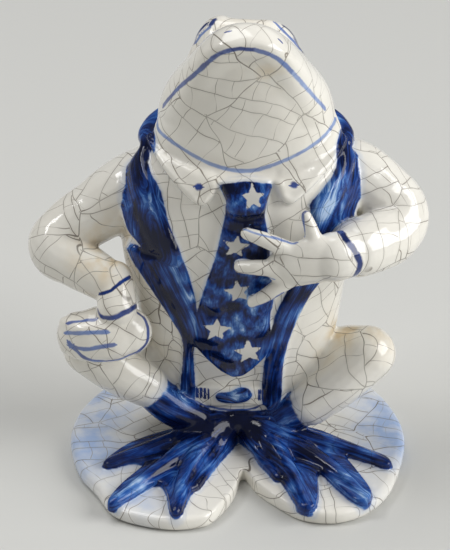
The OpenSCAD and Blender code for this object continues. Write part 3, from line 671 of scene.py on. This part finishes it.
cobaltDepthAndShadeSpots = [  # where the cobalt is darker (less than 0) or paler, partly thick or thin brushwork and partly painted shade in folds and crevices and painted highlight on lit ridges: x, y, z, reach, by
    (-31, 5, 108, 5, -0.4), (-27, -10, 86, 5, -0.3), (-23, -12, 84, 5, -0.35), (-34.5, -4, 92, 4, -0.3),
    (-28, -12, 78, 5, -0.45), (-22, -12, 64, 5, -0.25), (-16.5, -11, 46, 5, -0.35),
    (-15.7, -6, 28, 7, -0.35), (-33.6, 0, 102, 5, -0.3), (-27.7, -8, 96, 3, 0.15),
    (-19.6, -14, 79, 3.4, 0.45), (-17.6, -14, 72, 3, 0.4), (-16, -14, 65, 3, 0.35),
    (-14.6, -14, 57, 3, 0.25), (31.7, 1, 110, 5, -0.4), (28.4, -6, 108, 4, -0.4), (22.8, -10, 98, 3, -0.3),
    (36, -2, 98, 4, -0.2), (30.7, -6, 103, 3.4, 0.6), (28.4, -9, 98, 4, 0.7), (26, -11, 93, 4, 0.6),
    (16.4, -14, 65, 4, -0.35), (12.8, -12, 45, 3, -0.2), (10.4, -8, 29, 7, -0.4),
    (20.3, -11, 59.5, 3.6, 0.5), (17.4, -9, 48, 4, 0.45), (15.4, -9, 41, 3.4, 0.3),
    (3.4, -14, 107, 3, -0.3), (-3.3, -15, 105.6, 2.4, -0.3), (9.6, -13, 103, 2.6, -0.3),
    (3.5, -16, 94, 4, -0.35), (-7.4, -15, 79, 4, -0.2), (7.2, -16, 82.8, 4, -0.4),
    (-10.3, -14, 61.5, 4, -0.2), (-11.6, -13, 47.5, 4, -0.4), (-3.3, -12, 39, 3, -0.2),
    (3.9, -8, 34.2, 3, -0.3), (-2, -16, 65, 2.6, -0.3), (7.6, -14, 50, 3, -0.25), (3.5, -17, 100.6, 3, 0.2),
    (-3.3, -16, 70, 3.6, 0.3), (3, -16, 71, 4, 0.25), (0.5, -15, 55, 4, 0.25), (-1, -14, 45.6, 3.4, 0.25),
    (8.2, -15, 58, 3, 0.2), (-5.2, -16, 87, 3, 0.2), (-0.5, -8, 24.6, 1.7, 0.6), (2.6, -8, 25, 1.3, 0.4),
    (0, -4.4, 15, 5, -0.6), (1.4, -9, 12, 4, -0.6), (-8, -8.7, 15, 7, -0.45), (-12.5, -12, 13, 6, -0.4),
    (-20, -11, 13, 5, -0.3), (-41, -19, 8, 5, -0.4), (-28.7, -21, 7.6, 4, -0.4), (-14, -33, 8, 3, -0.4),
    (-25, -31, 7.5, 4, -0.35), (-18.5, -46, 6, 3, -0.25), (5.6, -10.7, 13, 4, -0.5),
    (8.8, -18.7, 9, 4, -0.45), (15, -31, 6.5, 4, -0.3), (23.5, -20, 9.8, 4, -0.4), (26, -26, 7.5, 4, -0.4),
    (36, -15, 8.5, 4, -0.25), (46, -20, 8, 5, -0.3), (-5, -13, 8.7, 4, 0.15), (-10.8, -23.4, 8, 4, 0.25),
    (-31.6, -33, 8.8, 5, 0.25), (-38, -40, 8, 4, 0.2), (-19.4, -35, 9, 4, 0.2), (11, -9.6, 15, 3, 0.15),
    (22, -13, 12, 7, -0.3), (20, -33, 8.8, 4, 0.2), (21.3, -41, 8, 4, 0.15), (32, -14, 9.5, 4, 0.25),
    (34.4, -32, 8.3, 5, 0.2), (39, -40, 8, 4, 0.1), (-24, -9, 26, 3.5, 0.35), (-17.4, -7, 22.8, 3, 0.25),
    (-29, -11.8, 28.8, 3, -0.3), (15.5, -8, 21, 3.5, 0.15), (20.3, -11.5, 19.7, 3, -0.2),
    (-1, -8, 25, 3, 0.2)]
washes = [  # thin blue over the pad: x, y, reach, strength
    (-52, -2, 12, 0.8), (-46, -18, 11, 0.7), (-46, 14, 12, 0.7), (-36, -32, 8, 0.3), (-30, -40, 8, 0.45),
    (50, -8, 11, 0.8), (46, 8, 12, 0.6), (52, 2, 9, 0.6), (38, -30, 8, 0.45), (-24, 38, 14, 0.6),
    (18, 42, 14, 0.6), (44, 24, 12, 0.6), (-46, 30, 10, 0.6)]
stainsAndShade = [  # warm cream, partly where the body shows through and partly painted shade in the crevices by the arms and legs and under the mouth: x, y, z, reach, strength
    (-44, -6, 76, 9, 1.0), (46, 3, 40, 8, 0.7), (40, 8, 36, 10, 0.6), (-34, 2, 72, 8, 0.9),
    (8, -12, 144, 6, 0.6), (34, 4, 44, 7, 0.8), (-48, -8, 50, 8, 0.3), (-28, 4, 40, 10, 0.4),
    (28, 4, 40, 10, 0.3), (0, 10, 155, 9, 0.35), (-36, 4, 84, 8, 0.4)]


def nearestOn(path, spots, normals):  # distance measured in the surface, signed side, and way along
    near, side, along = np.full(len(spots), 1e3), np.zeros(len(spots)), np.zeros(len(spots))
    start = 0.0
    for a, b in zip(path, path[1:]):
        a, b = np.array(a, float), np.array(b, float)
        step, length = b - a, np.linalg.norm(b - a)
        t = np.clip((spots - a) @ step / max(length ** 2, 1e-9), 0, 1)
        away = spots - a - t[:, None] * step
        lift = (away * normals).sum(1)
        flat = away - lift[:, None] * normals
        reach = np.sqrt((flat ** 2).sum(1) + np.clip(abs(lift) - 3.5, 0, None) ** 2)
        closer = reach < near
        across = np.cross(step / max(length, 1e-9), normals)
        side = np.where(closer, np.sign((flat * across).sum(1)) * reach, side)
        along = np.where(closer, start + t * length, along)
        near = np.where(closer, reach, near)
        start += length
    return near, side, along


def starInside(x, z, middleX, middleZ, reach, turn):  # how far inside a hand-drawn five-pointed star
    corners = []
    for i in range(10):
        a = math.radians(36 * i + 3 * math.sin(7.1 * i + reach * 9)) - math.radians(turn)
        r = reach * (1 + 0.1 * math.sin(5 * i + middleZ) if i % 2 == 0 else 0.45)
        corners.append((middleX + r * math.sin(a), middleZ + r * math.cos(a)))
    return insideOf(corners, x, z)


crazing = {"seed": 7, "patch": 25, "patchApart": 0.72, "strip": 7.2, "rung": 6.4, "uneven": 0.32,
           "sway": 0.9, "swayLength": 6.5, "tremor": 0.12, "tremorLength": 1.4,
           "stripSeed": 21, "rungSeed": 22}


def sway(spots):  # bends the cracks a little
    x, y, z = spots.T / crazing["swayLength"]
    push = np.stack([np.sin(1.3 * y + 0.7 * z + 0.4) + 0.5 * np.sin(2.9 * z - 1.7 * y),
                     np.sin(1.1 * z - 0.9 * x + 2) + 0.5 * np.sin(3.1 * x + 1.3 * z),
                     np.sin(1.2 * x + 0.8 * y + 4) + 0.5 * np.sin(2.7 * y - 2.1 * x)], 1)
    x, y, z = spots.T / crazing["tremorLength"]
    fine = np.stack([np.sin(1.3 * y + 0.9 * z), np.sin(1.1 * z - 1.2 * x + 2),
                     np.sin(1.4 * x + 0.8 * y + 4)], 1)
    return spots + crazing["sway"] * push + crazing["tremor"] * fine


def crackSeeds(spots, normals):  # where each patch of crazing starts, and the way its cracks run
    random, taken = np.random.default_rng(crazing["seed"]), []
    apart = (crazing["patchApart"] * crazing["patch"]) ** 2
    for index in random.permutation(len(spots)):
        if not taken or (((spots[taken] - spots[index]) ** 2).sum(1) > apart).all():
            taken.append(index)
    middles = sway(spots[taken])
    tree = KDTree(len(middles))
    for i, middle in enumerate(middles):
        tree.insert(middle, i)
    tree.balance()
    across = np.cross(normals[taken], random.normal(size=(len(taken), 3)))
    across /= np.linalg.norm(across, axis=1)[:, None]
    return {"tree": tree, "across": across, "along": np.cross(normals[taken], across)}


def nearestCrack(values, spacing, rows, seed):  # signed distance to uneven parallel cracks, and their row
    shift = np.random.default_rng(seed).uniform(-crazing["uneven"], crazing["uneven"], 4096)
    start = np.floor(values / spacing).astype(int)
    near, row = np.full(len(values), 99.0), start - 1
    for k in (start - 1, start, start + 1, start + 2):
        gap = values - (k + shift[(k * 131 + rows * 977) % 4096]) * spacing
        row = np.where(gap >= 0, k, row)
        near = np.where(abs(gap) < abs(near), gap, near)
    return near, row


def crackGaps(spots, seeds):  # signed distances to the patch edge, the long cracks and the rungs between them
    spots = sway(spots)
    found = [seeds["tree"].find_n(p, 2) for p in spots]
    first, second = np.array([f[0][1] for f in found]), np.array([f[1][1] for f in found])
    gap = np.array([(f[1][2] - f[0][2]) / 2 for f in found])
    strip, row = nearestCrack((spots * seeds["across"][first]).sum(1), crazing["strip"], first,
                              crazing["stripSeed"])
    rung, _ = nearestCrack((spots * seeds["along"][first]).sum(1), crazing["rung"],
                           row * 31 + first * 7, crazing["rungSeed"])
    return np.where(first < second, gap, -gap), strip, rung


blueClothes = {"lapelRight": 10.5, "lapelLeft": 10.5, "knot": 0, "blade": 0, "buckle": 0}  # painted this deep


def cobaltEdge(spots):  # how far inside the blue each spot lies, and how far from the parts laid on the body
    x, y, z = spots.T
    figureGap, whiteGap, blueGap = (
        np.array([paintGuides[name].find_nearest(p)[3] for p in spots * mm]) / mm
        for name in ("figure", "white", "blue"))
    strap = np.full(len(spots), -9.0)
    for name, deepest in blueClothes.items():
        inside = insideOf(curved(clothes[name]["outline"]), x, z)
        strap = np.maximum(strap, np.where(y < deepest, inside, -9))
    onFigure = np.clip((whiteGap - figureGap) / 2, -6, 6)
    onParts = (np.minimum(whiteGap, figureGap) - blueGap) / 2
    return np.clip(np.maximum(onParts, np.minimum(strap + 0.2, onFigure + 0.1)), -6, 6), onFigure


def layLines(spots, normals, marks):
    around, unit = 6, 0.6  # how far round a line to look, and the half width that the glaze draws
    for half, dark, path in fineLines.values():
        path = curved(path, 4, loop=False) if len(path) > 2 else path
        low, high = np.min(path, 0) - around, np.max(path, 0) + around
        here = np.nonzero(((spots > low) & (spots < high)).all(1))[0]
        if not len(here):
            continue
        near, side, _ = nearestOn(path, spots[here], normals[here])
        near, side = near * unit / half, side * unit / half
        better = near < marks["lineNear"][here]
        chosen = here[better]
        marks["lineNear"][chosen], marks["lineSide"][chosen] = near[better], side[better]
        marks["lineTone"][chosen] = dark


def brushSpace(spots, normals, cobalt):  # across the stroke, along it, and which stroke
    brush, best = np.zeros((len(spots), 3)), np.full(len(spots), 1e3)
    close = np.nonzero(cobalt > -2)[0]
    for number, path in enumerate(brushPaths):
        near, side, along = nearestOn(curved(path, 4, loop=False), spots[close], normals[close])
        better = near < best[close]
        chosen = close[better]
        best[chosen] = near[better]
        across, down = brushGrain["tie" if number == brushGrain["tiePath"] else "others"]
        stroke = np.full(better.sum(), number * 13.0)
        brush[chosen] = np.stack([side[better] * across, along[better] * down, stroke], 1)
    return brush


def fade(spots, middle, reach):
    return np.exp(-((spots - middle) ** 2).sum(1) / reach ** 2)


dabs = {"tieFront": -6, "tieHalf": 14, "tieProud": 0.2, "foldPool": 0.32, "foldSpread": 0.3, "foldFront": -4,
        "padBelow": 8}


def paintOn(piece, seeds):
    spots, normals = readMesh(piece)
    x, y, z = spots.T
    marks = {name: np.zeros(len(spots)) for name in ("lineSide", "lineTone", "pool", "wash", "stain")}
    marks["star"], marks["lineNear"] = np.full(len(spots), -9.0), np.full(len(spots), 9.0)
    for name, gap in zip(("crackPatch", "crackStrip", "crackRung"), crackGaps(spots, seeds)):
        marks[name], marks[name + "Near"] = gap, abs(gap)
    marks["cobalt"], onFigure = cobaltEdge(spots)
    onTie = (y < dabs["tieFront"]) & (abs(x) < dabs["tieHalf"]) & (onFigure > dabs["tieProud"])
    for star in stars:
        marks["star"][onTie] = np.maximum(marks["star"][onTie], starInside(x[onTie], z[onTie], *star))
    layLines(spots, normals, marks)
    for path, half, depth in creases:  # cobalt darker in the folds, partly pooled there and partly painted shade
        folds = np.exp(-(alongPath(path, spots[:, (0, 2)]) / (half + dabs["foldSpread"])) ** 2)
        marks["pool"] -= dabs["foldPool"] * folds * (y < dabs["foldFront"]) * (depth > 0)
    # darker and paler cobalt spots, partly brushwork and partly painted shade and painted highlight
    for *middle, reach, by in cobaltDepthAndShadeSpots:
        marks["pool"] += by * fade(spots, middle, reach)
    for *middle, reach, strength in washes:
        marks["wash"] += strength * fade(spots[:, :2], middle, reach) * (z < dabs["padBelow"])
    # warm cream spots, partly stains and partly painted shade
    for *middle, reach, strength in stainsAndShade:
        marks["stain"] += strength * fade(spots, middle, reach)
    for name, values in marks.items():
        layer = piece.data.attributes.new(name, "FLOAT", "POINT")
        layer.data.foreach_set("value", values.astype(np.float32))
    layer = piece.data.attributes.new("brush", "FLOAT_VECTOR", "POINT")
    layer.data.foreach_set("vector", brushSpace(spots, normals, marks["cobalt"]).astype(np.float32).ravel())


seeds = crackSeeds(wholeSpots, wholeNormals)
for piece in pieces.values():
    paintOn(piece, seeds)
report("brushwork laid out")


# the glaze
def linear(code):  # sRGB hex to linear light
    parts = [int(code[i:i + 2], 16) / 255 for i in (1, 3, 5)]
    return tuple(c / 12.92 if c <= 0.04045 else ((c + 0.055) / 1.055) ** 2.4 for c in parts) + (1,)


def add(tree, kind, *feeds, output=None, named=None, **settings):  # one node, fed in order or by name
    node = tree.nodes.new("ShaderNode" + kind)
    for name, value in settings.items():
        setattr(node, name, value)
    inputs = [*zip([socket for socket in node.inputs if socket.enabled], feeds)]
    for socket, value in inputs + [(node.inputs[name], value) for name, value in (named or {}).items()]:
        if isinstance(value, bpy.types.NodeSocket):
            tree.links.new(value, socket)
        else:
            socket.default_value = linear(value) if isinstance(value, str) else value
    return node.outputs[output] if output else next(socket for socket in node.outputs if socket.enabled)


glaze = {
    "ivory": "#F2EFE6", "warmIvory": "#E2DBCB", "cream": "#DCC7A0", "wash": "#93B0DE", "star": "#DAD8D2",
    "crackDark": "#7C7469", "crackPale": "#958D82", "crackInBlue": "#0A0F24",
    "crackWide": 0.12, "crackThin": 0.09,
    "cobalt": [(0.0, "#060F30"), (0.2, "#0B1D4E"), (0.4, "#163880"), (0.6, "#3260A8"), (0.78, "#6A92CA"),
               (0.95, "#B2CAE8")],
    "ink": [(0, "#0A1844"), (0.35, "#1C4090"), (0.65, "#4574C0"), (1, "#9ABAE8")],
    "clouds": {  # size in mm, and detail
        "crackDepth": (14.29, 2), "crackFaint": (9.09, 2), "warmth": (22.22, 3), "stain": (6.25, 3),
        "wash": (8.333, 4), "patch": (9.09, 3), "edge": (2, 2), "starEdge": (1.111, 2), "ink": (5, 3),
        "dimple": (11.11, 2), "ripple": (2.222, 1)},
    "streaks": {"streak": (1.25, 16.67, 3), "hairs": (0.3846, 6.667, 1)},  # width and length in mm, detail
    "toneWeights": {"streak": 1.5, "patch": 1.0, "hairs": 0.45, "pool": 0.85}, "toneShift": -1.065,
    "bump": 0.35, "bumpDeep": 0.0012, "roughness": 0.09, "coatRoughness": 0.03, "ior": 1.5,
    "coat": (-0.22, 0.3), "specular": (-0.2, 0.5),  # change on the cobalt, and value on the ivory
}
marksRead = ("cobalt", "star", "lineSide", "lineNear", "lineTone", "pool", "wash", "stain", "crackPatch",
             "crackPatchNear", "crackStrip", "crackStripNear", "crackRung", "crackRungNear")


# slip-cast earthenware, cobalt painted, dipped in a crackle glaze: ivory, crazed, wet-looking
def crackleGlazedEarthenware(name):
    material = bpy.data.materials.new(name)
    material.use_nodes = True
    tree = material.node_tree
    tree.nodes.clear()
    plus, minus, times, timesPlus, least, most, size = (
        {"operation": word} for word in (
            "ADD", "SUBTRACT", "MULTIPLY", "MULTIPLY_ADD", "MINIMUM", "MAXIMUM", "ABSOLUTE"))
    smooth, colour = {"interpolation_type": "SMOOTHSTEP"}, {"data_type": "RGBA"}

    mark = {word: add(tree, "Attribute", output="Fac", attribute_name=word) for word in marksRead}
    spot = add(tree, "VectorMath", add(tree, "TexCoord", output="Object"), 1 / mm, operation="SCALE")
    cloud = {word: add(tree, "TexNoise", spot, 1 / across, detail)
             for word, (across, detail) in glaze["clouds"].items()}
    brushed = add(tree, "Attribute", output="Vector", attribute_name="brush")
    for word, (wide, long, detail) in glaze["streaks"].items():
        stretched = add(tree, "VectorMath", brushed, (1 / wide, 1 / long, 1.0), **times)
        cloud[word] = add(tree, "TexNoise", stretched, 1.0, detail)

    # crazing, long cracks first, and short ones that end on them
    crack = {}
    for word, wide in (("crackPatch", "crackWide"), ("crackStrip", "crackWide"), ("crackRung", "crackThin")):
        gap, wide = add(tree, "Math", mark[word], **size), glaze[wide]
        line = add(tree, "MapRange", gap, wide * 0.35, wide * 1.6, 1.0, 0.0, **smooth)
        close = add(tree, "MapRange", mark[word + "Near"], 0.5, 0.8, 1.0, 0.0, **smooth)
        crack[word] = add(tree, "Math", line, close, **times)
    depth = add(tree, "MapRange", cloud["crackDepth"], 0.36, 0.6, 0.6, 1.0, **smooth)
    faint = add(tree, "MapRange", cloud["crackFaint"], 0.34, 0.56, 0.2, 1.0, **smooth)
    longCrack = add(tree, "Math", crack["crackPatch"], crack["crackStrip"], **most)
    longCrack = add(tree, "Math", longCrack, depth, **times)
    shortCrack = add(tree, "Math", crack["crackRung"], faint, **times)
    halo = add(tree, "MapRange", mark["crackStripNear"], 0.1, 1.2, 0.1, 0.0, **smooth)
    halo = add(tree, "Math", halo, depth, **times)

    # under the glaze: warm patches, stains that are partly painted shade, and washes
    warmth = add(tree, "MapRange", cloud["warmth"], 0.35, 0.7, 0.0, 0.22, **smooth)
    stain = add(tree, "MapRange", cloud["stain"], 0.3, 0.75, **smooth)
    stain = add(tree, "Math", add(tree, "Math", mark["stain"], stain, **times), 0.8, **least)
    wash = add(tree, "MapRange", cloud["wash"], 0.25, 0.7, 0.3675, 1.05, **smooth)
    wash = add(tree, "Math", add(tree, "Math", mark["wash"], wash, **times), 0.85, **least)

    # cobalt, thin at the very edge of a stroke and run a little in the glaze
    wobble = add(tree, "Math", cloud["edge"], 0.5, -0.25, **timesPlus)
    edge = add(tree, "Math", mark["cobalt"], wobble, **plus)
    bleed = add(tree, "MapRange", edge, -1.1, 0.0, 0.0, 0.3, **smooth)
    onCobalt = add(tree, "MapRange", edge, -0.12, 0.22, **smooth)
    tone = add(tree, "MapRange", edge, 0.0, 0.55, 0.22, 0.0, **smooth)
    tone = add(tree, "Math", tone, glaze["toneShift"], **plus)
    # the tone takes in the darker and paler spots, which are partly painted shade and painted highlight
    for word, weight in glaze["toneWeights"].items():
        tone = add(tree, "Math", cloud.get(word) or mark[word], weight, tone, **timesPlus)
    cobalt = add(tree, "ValToRGB", tone)
    crackShade = add(tree, "Math", longCrack, 0.35, **times)
    cobaltColour = add(tree, "Mix", crackShade, cobalt, glaze["crackInBlue"], **colour)
    starEdge = add(tree, "Math", cloud["starEdge"], 0.7, -0.35, **timesPlus)
    onStar = add(tree, "MapRange", add(tree, "Math", mark["star"], starEdge, **plus), -0.15, 0.2, **smooth)
    starColour = add(tree, "Mix", longCrack, glaze["star"], glaze["crackPale"], **colour)

    # fine lines drawn with a thin brush
    side = add(tree, "Math", add(tree, "Math", mark["lineSide"], **size), wobble, **plus)
    line = add(tree, "MapRange", side, 0.35, 0.75, 1.0, 0.0, **smooth)
    near = add(tree, "MapRange", mark["lineNear"], 0.75, 1.0, 1.0, 0.0, **smooth)
    line = add(tree, "Math", line, near, **times)
    line = add(tree, "Math", line, add(tree, "Math", mark["lineTone"], 0.5, 0.6, **timesPlus), **times)
    inkTone = add(tree, "Math", cloud["ink"], 0.7, 0.65, **timesPlus)
    ink = add(tree, "ValToRGB", add(tree, "Math", inkTone, mark["lineTone"], **minus))
    for ramp, shades in ((cobalt, glaze["cobalt"]), (ink, glaze["ink"])):
        stops = ramp.node.color_ramp.elements
        while len(stops) < len(shades):
            stops.new(0.5)
        for stop, (at, code) in zip(stops, shades):
            stop.position, stop.color = at, linear(code)

    base = glaze["ivory"]
    for over, shade in ((warmth, glaze["warmIvory"]), (stain, glaze["cream"]), (wash, glaze["wash"]),
                        (halo, glaze["crackPale"]), (shortCrack, glaze["crackPale"]),
                        (longCrack, glaze["crackDark"]), (bleed, glaze["wash"]), (onCobalt, cobaltColour),
                        (onStar, starColour), (line, ink)):
        base = add(tree, "Mix", over, base, shade, **colour)
    height = add(tree, "Math", cloud["ripple"], 0.1, cloud["dimple"], **timesPlus)
    height = add(tree, "Math", height, add(tree, "Math", longCrack, 0.03, **times), **minus)
    bump = add(tree, "Bump", named={
        "Height": height, "Strength": glaze["bump"], "Distance": glaze["bumpDeep"]})
    shader = add(tree, "BsdfPrincipled", named={
        "Base Color": base, "Roughness": glaze["roughness"], "IOR": glaze["ior"], "Normal": bump,
        "Coat Roughness": glaze["coatRoughness"], "Coat IOR": glaze["ior"],
        "Coat Weight": add(tree, "Math", onCobalt, *glaze["coat"], **timesPlus),
        "Specular IOR Level": add(tree, "Math", onCobalt, *glaze["specular"], **timesPlus)})
    surface = tree.nodes.new("ShaderNodeOutputMaterial").inputs[0]
    tree.links.new(shader, surface)
    return material


whiteGlaze = crackleGlazedEarthenware("crackleGlazedEarthenwareIvory")
blueGlaze = crackleGlazedEarthenware("crackleGlazedEarthenwareCobalt")
for node, piece in pieces.items():
    piece.name = "".join(word.capitalize() for word in node.split("_")) + "Glazed"
    piece.name = piece.name[0].lower() + piece.name[1:]
    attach(piece, "root")
    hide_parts(node)
    piece.data.materials.clear()
    piece.data.materials.append(blueGlaze if node in blueParts else whiteGlaze)
report("glazed")

# stage
room = {"floor": (0.625, 0.625, 0.6, 1), "floorRough": 0.8, "floorAcross": 8,
        "sky": (0.8, 0.8, 0.8, 1), "skyStrength": 0.24, "lightsAim": (0, 0, 0.07)}
softboxes = {  # in metres and watts
    "leftBox": {"stands": (-0.75, -0.05, 1), "size": (0.5, 0.25), "power": 3.2},
    "rightBox": {"stands": (1.5, -0.35, 0.85), "size": (1.3, 1.3), "power": 27},
    "topBox": {"stands": (-0.5, 0.5, 1.8), "size": (1.2, 1.2), "power": 13},
}
bpy.ops.mesh.primitive_plane_add(size=room["floorAcross"], location=(0, 0, 0))
floor = bpy.context.active_object
floor.name = "floor"
floorPaint = bpy.data.materials.new("mattGreyPaint")  # a plain matt studio floor, for the soft shadow
floorPaint.use_nodes = True
floorShader = floorPaint.node_tree.nodes["Principled BSDF"]
floorShader.inputs["Base Color"].default_value = room["floor"]
floorShader.inputs["Roughness"].default_value = room["floorRough"]
floor.data.materials.append(floorPaint)
for name, box in softboxes.items():
    bpy.ops.object.light_add(type="AREA", location=box["stands"])
    lamp = bpy.context.active_object
    lamp.name = name
    lamp.data.shape, (lamp.data.size, lamp.data.size_y) = "RECTANGLE", box["size"]
    lamp.data.energy = box["power"]
    aim = Vector(room["lightsAim"]) - Vector(box["stands"])
    lamp.rotation_euler = aim.to_track_quat("-Z", "Y").to_euler()
world = bpy.data.worlds.new("studio")
bpy.context.scene.world = world
world.use_nodes = True
sky = world.node_tree.nodes["Background"]
sky.inputs["Color"].default_value = room["sky"]
sky.inputs["Strength"].default_value = room["skyStrength"]
bpy.context.scene.view_settings.view_transform = "Standard"

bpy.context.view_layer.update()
report("done")
